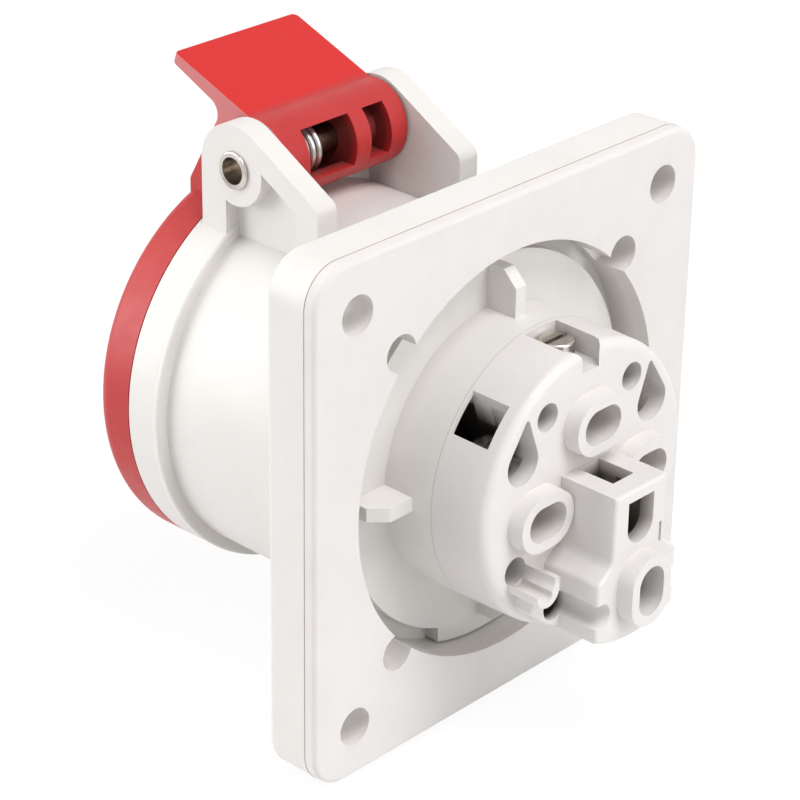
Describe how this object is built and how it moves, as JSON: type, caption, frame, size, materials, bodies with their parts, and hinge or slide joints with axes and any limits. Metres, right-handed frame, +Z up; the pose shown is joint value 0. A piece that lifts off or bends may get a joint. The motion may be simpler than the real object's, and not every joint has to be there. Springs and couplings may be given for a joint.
{
  "type": "panel mount industrial socket",
  "caption": "Square-flanged panel socket for round industrial plugs, with a sprung lid on a hinge, a soft gasket and screw terminals behind.",
  "frame": {"origin": "middle of the gasket's rear face on the socket axis, in the plane of the panel's front", "axes": "+Y along the socket axis to the rear of the panel, +Z up to the hinge, +X to the left seen from in front"},
  "size_m": [0.075, 0.078, 0.0836],
  "materials": {
    "grey_plastic": "fine satin moulding",
    "red_plastic": "satin moulding",
    "gasket_rubber": "soft pale foam rubber",
    "seal_rubber": "matt black",
    "nickel": "nickel plate",
    "spring_steel": "bright drawn wire",
    "brass": "plain machined"
  },
  "bodies": {
    "base": {"housing": "grey_plastic", "contact_carrier": "grey_plastic", "terminal_block": "grey_plastic", "flange_gasket": "gasket_rubber", "hinge_pin": "nickel", "lid_spring": "spring_steel", "block_screws": "nickel", "contact_line_1": "brass", "contact_line_2": "brass", "contact_line_3": "brass", "contact_neutral": "brass", "contact_earth": "brass", "clamp_top": "brass", "clamp_left": "brass", "clamp_right": "brass", "clamp_middle": "brass", "clamp_bottom": "brass"},
    "lid": {"lid": "red_plastic", "lid_seal": "seal_rubber"},
    "screw_top": {"screw_top": "nickel"},
    "screw_left": {"screw_left": "nickel"},
    "screw_right": {"screw_right": "nickel"},
    "screw_middle": {"screw_middle": "nickel"},
    "screw_bottom": {"screw_bottom": "nickel"}
  },
  "joints": [
    {"name": "lid_hinge", "type": "hinge", "parent": "base", "child": "lid", "pos_m": [0, -0.0368, 0.0345], "axis": [-1, 0, 0], "range_deg": [0, 150], "stiffness_Nm_per_rad": 0.02, "springref_deg": -28.65, "deforming": ["lid_spring"]},
    {"name": "screw_top_travel", "type": "slide", "parent": "base", "child": "screw_top", "axis": [0, 0, 1], "range_m": [0, 0.0025]},
    {"name": "screw_left_travel", "type": "slide", "parent": "base", "child": "screw_left", "axis": [0.3272, 0, 0.9449], "range_m": [0, 0.0025]},
    {"name": "screw_right_travel", "type": "slide", "parent": "base", "child": "screw_right", "axis": [-0.3272, 0, 0.9449], "range_m": [0, 0.0025]},
    {"name": "screw_middle_travel", "type": "slide", "parent": "base", "child": "screw_middle", "axis": [0, 0, 1], "range_m": [0, 0.0025]},
    {"name": "screw_bottom_travel", "type": "slide", "parent": "base", "child": "screw_bottom", "axis": [0, 0, -1], "range_m": [0, 0.0025]}
  ]
}
